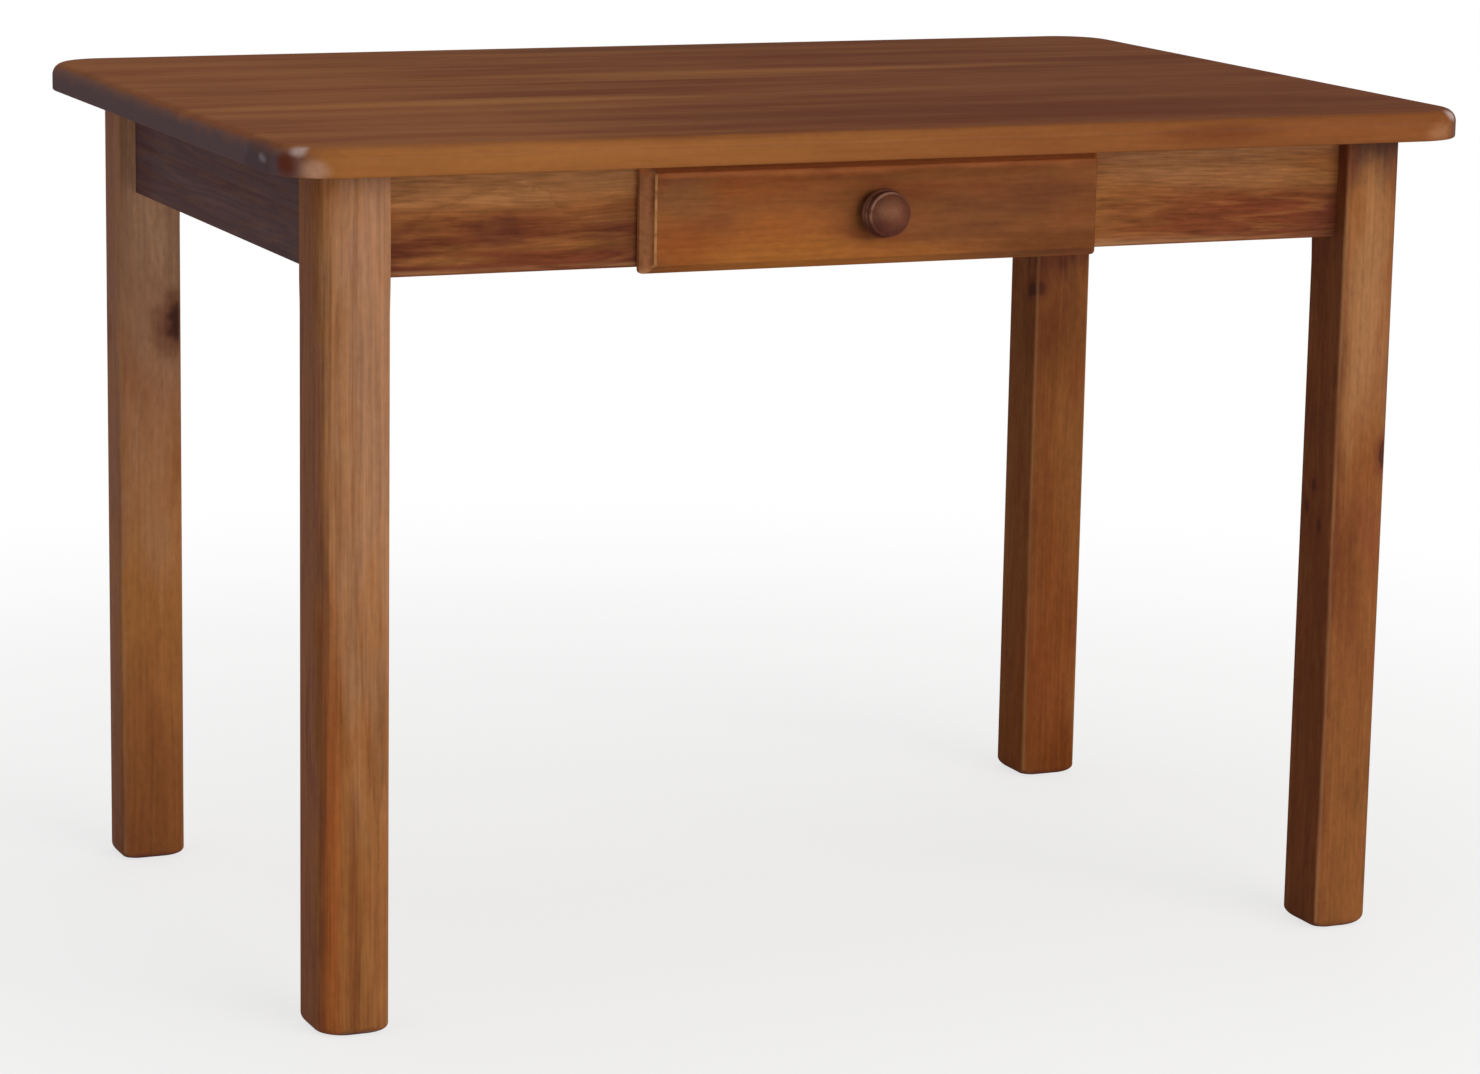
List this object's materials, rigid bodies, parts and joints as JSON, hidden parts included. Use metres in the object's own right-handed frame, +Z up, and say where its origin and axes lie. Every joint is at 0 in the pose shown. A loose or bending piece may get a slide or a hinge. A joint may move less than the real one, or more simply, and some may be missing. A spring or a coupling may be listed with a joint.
{
  "type": "dining table",
  "caption": "Rectangular dining table of stained pine: rounded-edge top, square legs with one large rounded corner, plain aprons and a bevel-fronted drawer with a round wooden knob.",
  "frame": {"origin": "on the floor under the middle of the tabletop", "axes": "+X along the length, -Y towards the drawer front, +Z up"},
  "size_m": [1.1, 0.74, 0.75],
  "materials": {
    "stained_pine": "satin",
    "plain_pine": "matte",
    "plywood": "matte",
    "beech": "matte",
    "zinc_plated_steel": "satin"
  },
  "bodies": {
    "table": {"top_board_1": "stained_pine", "top_board_2": "stained_pine", "top_board_3": "stained_pine", "top_board_4": "stained_pine", "top_board_5": "stained_pine", "top_board_6": "stained_pine", "top_board_7": "stained_pine", "leg_front_left": "stained_pine", "leg_front_right": "stained_pine", "leg_back_left": "stained_pine", "leg_back_right": "stained_pine", "apron_front": "stained_pine", "apron_back": "stained_pine", "apron_left": "stained_pine", "apron_right": "stained_pine", "apron_dowels": "beech", "corner_block_front_left": "plain_pine", "corner_block_front_right": "plain_pine", "corner_block_back_left": "plain_pine", "corner_block_back_right": "plain_pine", "corner_block_screws": "zinc_plated_steel", "leg_bolts": "zinc_plated_steel", "leg_washers": "zinc_plated_steel", "leg_nuts": "zinc_plated_steel", "top_brackets": "zinc_plated_steel", "top_bracket_screws": "zinc_plated_steel", "drawer_kicker_screws": "zinc_plated_steel", "drawer_runner_left": "plain_pine", "drawer_runner_right": "plain_pine", "drawer_kicker_left": "plain_pine", "drawer_kicker_right": "plain_pine"},
    "drawer": {"drawer_front": "stained_pine", "drawer_knob": "stained_pine", "drawer_side_left": "plain_pine", "drawer_side_right": "plain_pine", "drawer_box_front": "plain_pine", "drawer_box_back": "plain_pine", "drawer_stop": "plain_pine", "drawer_bottom": "plywood", "drawer_dowels": "beech", "drawer_front_screws": "zinc_plated_steel", "drawer_stop_screws": "zinc_plated_steel", "drawer_knob_screw": "zinc_plated_steel"}
  },
  "joints": [
    {"name": "drawer_slide", "type": "slide", "parent": "table", "child": "drawer", "axis": [0, -1, 0], "range_m": [0, 0.339]}
  ]
}
